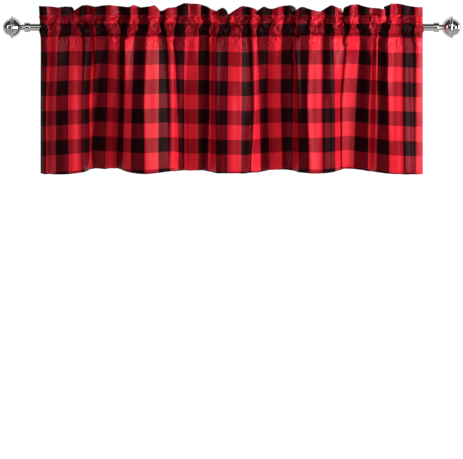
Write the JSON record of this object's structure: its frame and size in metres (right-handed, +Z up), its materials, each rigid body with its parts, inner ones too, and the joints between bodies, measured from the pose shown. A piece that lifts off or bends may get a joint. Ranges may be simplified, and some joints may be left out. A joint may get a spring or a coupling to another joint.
{
  "type": "window valance on curtain rod",
  "caption": "Gathered rod-pocket window valance in a checked cloth, hanging in soft folds from a plain chrome curtain rod with turned finials.",
  "frame": {"origin": "on the rod's axis, half way between its ends", "axes": "+X along the rod to the right as seen from the room, -Y towards the room, +Z up"},
  "size_m": [1.178, 0.1092, 0.4461],
  "materials": {
    "cloth": "woven check with a soft sheen",
    "rod": "polished",
    "end_caps": "polished",
    "finials": "polished"
  },
  "bodies": {
    "root": {"valance_cloth": "cloth", "rod_tube": "rod", "end_cap_left": "end_caps", "end_cap_right": "end_caps", "finial_left": "finials", "finial_right": "finials"}
  },
  "joints": []
}
